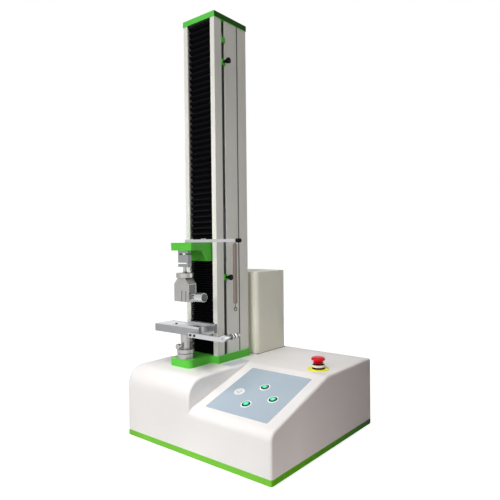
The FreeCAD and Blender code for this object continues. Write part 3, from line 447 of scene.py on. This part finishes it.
own_skins = {
    # the housing's right side carries a painted shade deepening to the back, and its inner right-facing faces
    # a painted light
    "base_housing": powder_coat("housing_white", OFF_WHITE, side=linear(247, 235, 232),
                                side_shade_back=linear(180, 166, 162), side_from=BASE_RIGHT,
                                inner=linear(251, 249, 247)),
    # the base plate's right side carries a painted shade that deepens towards the back
    "base_plate": powder_coat("base_enamel", GREEN, specular=0.02, side=linear(112, 196, 20),
                              side_shade_back=linear(24, 84, 4), side_from=BASE_RIGHT, **ENAMEL),
    "column_flange": powder_coat("flange_enamel", linear(98, 207, 72), specular=0.08, **ENAMEL),
    # the cap's right-hand faces carry a painted shade
    "top_cap": powder_coat("cap_enamel", linear(100, 212, 84), specular=0.02,
                           side=shade(COLUMN_GREEN, 0.25), **ENAMEL),
    "column_profile": column_paint,
    "column_corner": column_paint,
    "rear_housing": powder_coat("housing_powder_coat", linear(242, 240, 224)),
    "button_bezels": skins["black_plastic"],
    "inlet_module": moulded("inlet_moulding", linear(58, 58, 60), 0.4, Specular_IOR_Level=0.2),
    "power_rocker": moulded("rocker_moulding", linear(24, 24, 25), 0.3, Specular_IOR_Level=0.4),
    "limit_rod": black_steel,
    "carriage": black_steel,
    "fixture_screws": black_steel,
    # the load cell's right-hand faces are painted darker, a painted shade
    "load_cell": machined("sawn_aluminium", ALUMINIUM, 0.46, SAWN_Y, side=linear(104, 104, 106)),
    "pulley_arm": bright_aluminium,
    "spring_bar": bright_aluminium,
    "retaining_bars": bright_aluminium,
    "sliding_table": bright_aluminium,
    "grip_body": machined("ground_grip_steel", STEEL, 0.46, TURNED_Z),
    "grip_screw": bright_steel,
}
for part in frame["record"]["subparts"]:
    node = frame["nodes"][part["node"]]
    node.data.materials.clear()
    node.data.materials.append(own_skins.get(part["node"], skins[part["material_slot"]]))


# Bellows

def pleats(name, fixed_end, moving_end, folds, node):
    """A pleated cloth between two heights, closed all round. Up the cloth, at s folds, the front is at
    tip + depth (1 - w(s)), where w is acos(k cos 2 pi s) / pi, stretched to 0..1: a triangle wave with
    rounded corners. Across, the cloth's edges curl back in a quarter circle. The back is the same
    surface, a cloth's thickness behind. The tips carry a painted highlight, strongest near the moving end."""
    tip_y, depth, thickness = -0.0708, 0.0106, 0.0014
    left, right, curl = -0.1698, -0.0822, 0.0022
    per_fold, per_curl, per_front, sharp = 12, 4, 7, 0.985
    tip_from, least_highlight, highlight_reach = 0.86, 0.14, 0.11
    bottom, top = sorted((fixed_end, moving_end))
    s = np.linspace(0, folds, folds * per_fold + 1)
    low = math.acos(sharp) / math.pi
    wave = (np.arccos(sharp * np.cos(2 * np.pi * s)) / np.pi - low) / (1 - 2 * low)
    bend = np.linspace(np.pi / 2, 0, per_curl)
    edge_x, edge_back = curl * (1 - np.sin(bend)), curl * (1 - np.cos(bend))
    flat = np.linspace(left + curl, right - curl, per_front)[1:-1]
    x = np.concatenate([left + edge_x, flat, (right - edge_x)[::-1]])
    back = np.concatenate([edge_back, np.zeros(len(flat)), edge_back[::-1]])
    z = bottom + (top - bottom) * s / folds
    front = np.empty((len(s), len(x), 3))
    front[:, :, 0] = x[None]
    front[:, :, 1] = tip_y + depth * (1 - wave)[:, None] + back[None]
    front[:, :, 2] = z[:, None]
    rear = front + (0.0, thickness, 0.0)
    ring = np.concatenate([front, rear[:, ::-1]], 1)
    around = ring.shape[1]
    points = np.concatenate([pole(ring[0].mean(0), around), ring, pole(ring[-1].mean(0), around)])
    piece = surface(name, points, skins["bellows_cloth"], closed_v=True)
    # painted highlight on the fold tips, strongest near the moving end
    highlight_share = least_highlight + (1 - least_highlight) * np.exp(-((z - moving_end) / highlight_reach) ** 2)
    tip = np.zeros(points.shape[:2])
    tip[1:-1, :len(x)] = (np.clip((wave - tip_from) / (1 - tip_from), 0, 1) * highlight_share)[:, None]
    point_attribute(piece, "tip", tip)
    weld(piece)
    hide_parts(node)
    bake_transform(piece)


pleats("upper_bellows_cloth", 1.1775, 0.542, 38, "bellows_upper")
pleats("lower_bellows_cloth", 0.2185, 0.489, 39, "bellows_lower")


# Tension spring

def spring():
    """Close-wound wire: the helix centre + r(s) (cos a, sin a) at height top - length s, whose radius r
    shrinks to the hooks at both ends. The eye and the ring are circles of wire, and the neck and the
    stem are straight."""
    wire, outer, turns, per_turn = 0.0009, 0.0058, 86, 18
    top, length = 0.539, 0.156
    hook_radius, hook_reach = 0.0012, 0.004
    eye_wire, eye_radius, eye_height = 0.00085, 0.00245, 0.5455
    stem_wire, ring_wire, ring_radius, ring_height = 0.0011, 0.0014, 0.0042, 0.370
    steel = skins["spring_steel"]
    dark = machined("dark_wire", linear(92, 84, 80), 0.3, DRAWN)

    s = np.linspace(0, 1, turns * per_turn + 1)
    ends = np.clip(np.minimum(s, 1 - s) * length / hook_reach, 0, 1)
    radius = hook_radius + (outer - wire - hook_radius) * np.sqrt(ends * (2 - ends))
    angle = 2 * np.pi * turns * s
    coil = np.stack([SPRING_X + radius * np.cos(angle), LOAD_Y + radius * np.sin(angle),
                     top - wire - (length - 2 * wire) * s], -1)

    def circle(r, height):
        """A circle of a radius about a height, which faces the front."""
        t = angles(40)
        return np.stack([SPRING_X + r * np.cos(t), np.full(40, LOAD_Y), height + r * np.sin(t)], -1)

    def straight(z0, z1):
        """A plumb line on the spring's axis."""
        z = np.linspace(z0, z1, 6)
        return np.stack([np.full(6, SPRING_X), np.full(6, LOAD_Y), z], -1)

    body = tube("spring_wire", coil, wire, steel)
    eye = tube("spring_eye", circle(eye_radius, eye_height), eye_wire, steel, closed=True)
    neck = tube("spring_neck", straight(0.5375, 0.5432), eye_wire, steel)
    stem = tube("spring_stem", straight(0.3845, 0.3745), stem_wire, dark)
    ring = tube("spring_foot_ring", circle(ring_radius, ring_height), ring_wire, dark, closed=True)
    coil_piece = joined("tension_spring_wire", [body, eye, neck])
    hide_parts("tension_spring")
    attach(coil_piece, "spring")
    ring_piece = joined("tension_spring_ring", [stem, ring])
    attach(ring_piece, "spring")


spring()


# Console

def button_lens(node, body, material):
    """A cap with a crowned lens: a straight side, a rounded shoulder, a small groove and the crown
    h (1 - (r / R)^2)."""
    outer, shoulder, groove, crown_radius = 0.0075, 0.0064, 0.0060, 0.0058
    crown_rise, groove_depth = 0.0004, 0.0006
    low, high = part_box(node)
    centre = (low + high) / 2
    reach = abs(high.z - low.z) / 2
    top_rise = (reach - outer * math.sin(SLOPE)) / math.cos(SLOPE)
    top = centre + PANEL_NORMAL * top_rise
    depth = 2 * top_rise
    r = np.linspace(crown_radius, 0, 8)
    crown = np.stack([r, crown_rise * (1 - (r / crown_radius) ** 2) - crown_rise], -1)
    side = [(0, -depth), (outer, -depth), (outer, 0.0), (shoulder, 0.0), (groove, -groove_depth),
            (crown_radius, -crown_rise)]
    profile = np.concatenate([rounded(side, 0.0006), crown[1:]])
    piece = turned(node + "_lens", profile, top, PANEL_NORMAL, material, 48)
    off = points_of(piece) - np.array(top)
    normal = np.array(PANEL_NORMAL)
    radial = np.linalg.norm(off - np.outer(off @ normal, normal), axis=1) / outer
    point_attribute(piece, "radial", radial)
    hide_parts(node)
    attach(piece, body)


def button_rings():
    """A pale ring round each bezel: its outline is turned about the button's own axis, on the panel. The
    unlit button's ring also covers its bezel."""
    inner, outer, chamfer, height = 0.0108, 0.0142, 0.0004, 0.0013
    bezel, bezel_height, bore, bore_height = 0.0113, 0.0023, 0.0079, 0.0018
    side = [(inner, 0), (outer, 0), (outer - chamfer, height)]
    open_ring = side + [(inner, height), (inner, 0)]
    full_ring = side + [(bezel, height), (bezel, bezel_height), (bore, bezel_height), (bore, bore_height),
                        (inner, bore_height), (inner, 0)]
    pale = moulded("pale_ring_plastic", linear(246, 247, 247), 0.3)
    rings = []
    for node in ("button_top", "button_right", "button_bottom", "button_left"):
        low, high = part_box(node)
        middle = (low + high) / 2
        foot = middle - PANEL_NORMAL * (middle - PANEL_POINT).dot(PANEL_NORMAL)
        outline = full_ring if node == "button_left" else open_ring
        rings.append(turned(node + "_ring", rounded(outline, 0.0003), foot, PANEL_NORMAL, pale))
    piece = joined("button_rings", rings)
    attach(piece, "root")


lens_green = lit_lens("lit_green_lens", linear(120, 246, 196), linear(28, 186, 130), 0.25)
# the unlit lens's darker edge is a painted shade
lens_white = lit_lens("unlit_white_lens", linear(238, 240, 238), linear(206, 208, 206), 0.0)
button_rings()
for spot in ("top", "right", "bottom"):
    button_lens("button_" + spot, "push_" + spot, lens_green)
button_lens("button_left", "push_left", lens_white)


# Emergency stop

def stop_head():
    """The mushroom head: a stem in the collar, a skirt over it, a waist that flares into the rim, and a
    flat crown. The stem meets the skirt at a sharp corner, so that the collar's bore clears it when the
    head is pushed down."""
    foot, under, crown = 0.1753, 0.2153, 0.2313
    stem, skirt, waist, rim = 0.0079, 0.0142, 0.0112, 0.0190
    head = [(stem, under), (skirt, under), (skirt, under + 0.0014), (waist, under + 0.0034),
            (waist, under + 0.0046), (0.0158, under + 0.0060), (0.0186, under + 0.0076),
            (rim, under + 0.0096), (0.0180, under + 0.0124), (0.0150, crown - 0.0012),
            (0.0100, crown - 0.0002), (0, crown)]
    outline = np.concatenate([[(0, foot), (stem, foot)], rounded(head, 0.0016)])
    piece = turned("stop_mushroom", outline, (STOP_X, STOP_Y, 0), UP, skins["stop_red"], 96)
    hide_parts("estop_head")
    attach(piece, "estop")


def thin_ring(name, inner, outer, low, high, centre, axis, radius, material, steps=64):
    """A band or a sleeve with rounded edges: a rectangle of two radii and two heights, turned."""
    outline = [(inner, low), (outer, low), (outer, high), (inner, high), (inner, low)]
    return turned(name, rounded(outline, radius), centre, axis, material, steps)


def collar_band():
    """A pale band round the upper half of the stop's collar."""
    inner, outer, low, high = 0.0168, 0.0175, 0.2043, 0.2106
    pale = moulded("pale_band_plastic", linear(236, 236, 232), 0.3)
    centre = (STOP_X, STOP_Y, 0)
    piece = thin_ring("stop_collar_band", inner, outer, low, high, centre, UP, 0.0003, pale, 96)
    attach(piece, "root")


stop_head()
collar_band()


# Small pieces

def plate(name, corners, thickness, radius, normal, material):
    """A thin plate: an outline in its own plane with a curve at each corner, and a top and bottom a
    thickness apart with a small chamfer between. Corners are in order round the plate."""
    wall, inset = 0.7, 0.012  # the chamfer's foot as a share of the thickness, and its reach inwards
    corners = np.asarray(corners, float)
    n = np.asarray(normal, float)
    outline = []
    for i in range(len(corners)):
        before, after = corners[i - 1], corners[(i + 1) % len(corners)]
        outline.append(corner_curve(before, corners[i], after, radius, radius, 5))
    outline = np.concatenate(outline)
    middle = outline.mean(0)
    count = len(outline)
    rows = [np.tile(middle, (count, 1)), outline, outline + n * thickness * wall,
            outline + (middle - outline) * inset + n * thickness, np.tile(middle + n * thickness, (count, 1))]
    return weld(surface(name, np.stack(rows), material, closed_v=True, smooth=False))


def slab(name, low, high, axis, radius, material, body):
    """A plate that fills a box, thin along one axis (0 to 2) and facing its positive way."""
    first, second = [i for i in range(3) if i != axis]
    corners = np.tile(np.asarray(low, float), (4, 1))
    corners[1:3, first] = high[first]
    corners[2:, second] = high[second]
    normal = np.zeros(3)
    normal[axis] = 1
    piece = plate(name, corners, high[axis] - low[axis], radius, normal, material)
    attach(piece, body)


THIN_X, THIN_Z = 0, 2
END_WIDTH = 0.0108  # a little less than the channel's wall
satin_plate = machined("satin_plate", linear(204, 208, 222), 0.42, BRUSHED, metallic=0.15)
dark_steel = machined("dark_ground_steel", linear(98, 101, 102), 0.5, GROUND)
knurled_face = machined("knurled_face", linear(82, 84, 82), 0.55, KNURLED, strength=0.3)
# a grey for the column's groove, a painted shade
groove_shade_grey = moulded("groove_painted_shade", linear(102, 100, 95), 0.6, Specular_IOR_Level=0.1)
gap_black = moulded("gap_rubber", linear(34, 34, 33), 0.7, Specular_IOR_Level=0.1)
slab("bare_label_plate", (-0.048, -0.073, BASE_TOP), (-0.014, 0.008, BASE_TOP + 0.0006), THIN_Z, 0.002,
     satin_plate, "root")
slab("grip_cheek", (-0.0965, -0.1508, 0.3995), (-0.0960, -0.1262, 0.4262), THIN_X, 0.001,
     dark_steel, "crosshead")
# dark plates on the channel's flange ends, a painted shade
for end_name, end_y in (("near", -0.1739), ("far", -0.1139)):
    slab("painted_shade_channel_end_" + end_name, (-0.0385, end_y, 0.2925), (-0.0382, end_y + END_WIDTH, 0.3176), THIN_X,
         0.0006, dark_steel, "root")
# a grey strip in the column's groove, a painted shade
slab("groove_shade_strip", (-0.0676, 0.0212, 0.2190), (-0.0651, 0.0264, 1.1772), THIN_X, 0.0006,
     groove_shade_grey, "root")
slab("bellows_top_rail", (-0.1712, -0.0746, 1.1722), (-0.0808, -0.0711, 1.1774), THIN_Z, 0.0008,
     gap_black, "root")
slab("housing_gasket", (-0.2045, 0.0865, BASE_TOP), (-0.0475, 0.2375, BASE_TOP + 0.0012), THIN_Z, 0.004,
     gap_black, "root")

handle_outline = [(0, 0.0004), (0.0113, 0.0004), (0.0117, 0.0), (0, 0.0)]
handle_face = turned("handle_end_face", handle_outline, (-0.0512, LOAD_Y, 0.392), ALONG_X, knurled_face)
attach(handle_face, "clamp_screw")


# Cord pulley

def cord_pulley():
    """A small wheel with painted highlights on its two rims, and before it a sleeve on the shaft, dark by
    painted reflection.
    """
    x, z, wheel_y, half = 0.053, 0.299, -0.1415, 0.0075
    bore, rim, groove, lip, flank = 0.0042, 0.0088, 0.0058, 0.0030, 0.0015
    outline = [(bore, -half), (rim, -half), (rim, lip - half), (groove, lip - half + flank),
               (groove, half - lip - flank), (rim, half - lip), (rim, half), (bore, half), (bore, -half)]
    metal = metal_with_painted_reflections("steel_with_painted_reflections", linear(46, 46, 48), linear(226, 226, 226))
    wheel = turned("cord_pulley_wheel", rounded(outline, 0.0008), (x, wheel_y, z), ALONG_Y, metal)
    place = points_of(wheel)
    off_axis = np.hypot(place[:, 0] - x, place[:, 2] - z)
    # the rim value sets the rims' painted highlight against the grooves' dark painted reflection
    point_attribute(wheel, "rim", np.clip((off_axis - groove) / (rim - groove), 0, 1))
    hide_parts("pulley")
    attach(wheel, "cord_pulley")

    arm_face, end, inner, outer, highlight_band_length = -0.174, -0.1515, 0.0041, 0.0058, 0.002
    sleeve = thin_ring("shaft_sleeve", inner, outer, arm_face, end, (x, 0, z), ALONG_Y, 0.0004, metal)
    # a painted highlight band on the sleeve at its end by the arm
    highlight_band = points_of(sleeve)[:, 1] < arm_face + highlight_band_length
    point_attribute(sleeve, "rim", np.where(highlight_band, 1.0, 0.0))
    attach(sleeve, "root")


cord_pulley()


# Stage

def seen_by_eye(nodes, links):
    """1 for camera, glossy and transmission rays, else 0: the largest of the three."""
    path = nodes.new("ShaderNodeLightPath")
    largest = path.outputs["Is Camera Ray"]
    for name in ("Is Glossy Ray", "Is Transmission Ray"):
        larger = nodes.new("ShaderNodeMath")
        larger.operation = "MAXIMUM"
        links.new(largest, larger.inputs[0])
        links.new(path.outputs[name], larger.inputs[1])
        largest = larger.outputs[0]
    return largest


def backdrop():
    """A floor that reads white to the camera and to reflections, keeps the object's shadow, and lights
    the object as a plain pale floor."""
    reach, lighting_grey, shadow_grey, glow = 30.0, 0.75, 0.70, 0.94
    points = np.array([[[-reach, -reach, 0], [reach, -reach, 0]], [[-reach, reach, 0], [reach, reach, 0]]])
    material = bpy.data.materials.new("pale_floor")
    material.use_nodes = True
    nodes, links = material.node_tree.nodes, material.node_tree.links
    nodes.clear()
    out = nodes.new("ShaderNodeOutputMaterial")
    plain, shadow = nodes.new("ShaderNodeBsdfDiffuse"), nodes.new("ShaderNodeBsdfDiffuse")
    for diffuse, grey in ((plain, lighting_grey), (shadow, shadow_grey)):
        diffuse.inputs["Color"].default_value = (grey, grey, grey, 1)
    white = nodes.new("ShaderNodeEmission")
    white.inputs["Strength"].default_value = glow
    seen = nodes.new("ShaderNodeAddShader")
    links.new(shadow.outputs[0], seen.inputs[0])
    links.new(white.outputs[0], seen.inputs[1])
    mix = nodes.new("ShaderNodeMixShader")
    links.new(seen_by_eye(nodes, links), mix.inputs[0])
    links.new(plain.outputs[0], mix.inputs[1])
    links.new(seen.outputs[0], mix.inputs[2])
    links.new(mix.outputs[0], out.inputs["Surface"])
    floor = surface("pale_floor", points, material)


def sky():
    """A plain pale world that reads white to the camera and to reflections."""
    lighting, tint = 0.135, (1.0, 0.95, 0.93, 1)
    world = bpy.data.worlds.new("studio")
    scene.world = world
    world.use_nodes = True
    nodes, links = world.node_tree.nodes, world.node_tree.links
    back = nodes["Background"]
    by_eye = seen_by_eye(nodes, links)
    strength = nodes.new("ShaderNodeMix")
    strength.data_type = "FLOAT"
    strength.inputs["A"].default_value = lighting
    strength.inputs["B"].default_value = 1.0
    links.new(by_eye, strength.inputs["Factor"])
    links.new(strength.outputs["Result"], back.inputs["Strength"])
    colour = nodes.new("ShaderNodeMix")
    colour.data_type = "RGBA"
    colour.inputs[MIX_FIRST].default_value = tint
    colour.inputs[MIX_SECOND].default_value = (1, 1, 1, 1)
    links.new(by_eye, colour.inputs["Factor"])
    links.new(colour.outputs[MIX_RESULT], back.inputs["Color"])


def softbox(name, place, target, side, watts, spread=180, lights=True, shines=True):
    """A square studio light that faces a target, within a spread in degrees. It can be kept off matt
    surfaces, as a card for the metals to mirror is, or off mirroring ones."""
    data = bpy.data.lights.new(name, "AREA")
    data.energy = watts
    data.size = side
    data.spread = math.radians(spread)
    box = bpy.data.objects.new(name, data)
    box.location = place
    box.rotation_euler = (Vector(place) - Vector(target)).to_track_quat("Z", "Y").to_euler()
    box.visible_diffuse = lights
    box.visible_glossy = shines
    scene.collection.objects.link(box)


def camera():
    """The photograph's view, from the place, angles and focal length that fit its corners. Forward is
    cos(pitch) ahead + sin(pitch) up, and roll turns right and up about it."""
    place = (0.8879, -1.09647, 0.53876)
    azimuth, pitch, roll = (math.radians(v) for v in (39.08, -0.8, -0.61))
    sensor_mm, focal_pixels, photo_pixels = 36.0, 494.07, 500.0
    ahead = Vector((-math.sin(azimuth), math.cos(azimuth), 0))
    level = Vector((math.cos(azimuth), math.sin(azimuth), 0))
    forward = ahead * math.cos(pitch) + Vector((0, 0, math.sin(pitch)))
    upright = level.cross(forward)
    right = level * math.cos(roll) + upright * math.sin(roll)
    up = upright * math.cos(roll) - level * math.sin(roll)
    data = bpy.data.cameras.new("view")
    data.sensor_width = sensor_mm
    data.lens = sensor_mm * focal_pixels / photo_pixels
    eye = bpy.data.objects.new("view", data)
    turn = Matrix((right, up, -forward)).transposed()
    eye.matrix_world = Matrix.Translation(place) @ turn.to_4x4()
    scene.collection.objects.link(eye)
    scene.camera = eye


backdrop()
sky()
softbox("key", (0.1, -2.6, 1.6), (0.0, 0.0, 0.3), side=1.6, watts=40.5)
softbox("overhead", (0.1, -0.3, 2.4), (0.0, 0.0, 0.2), side=1.4, watts=8.0, shines=False)
softbox("console", (0.03, -0.6, 1.4), (0.0, -0.17, 0.17), side=0.5, watts=0.9, spread=50, shines=False)
softbox("fill", (1.3, -1.4, 0.5), (0.15, -0.1, 0.2), side=0.8, watts=1.3)
softbox("rear", (-0.7, 2.6, 0.45), (0.0, 0.0, 0.45), side=1.2, watts=13.0, shines=False)
softbox("card", (1.9, 2.2, 0.8), (-0.1, -0.1, 0.3), side=1.6, watts=14.0, lights=False)
camera()
scene.view_settings.view_transform = "Standard"
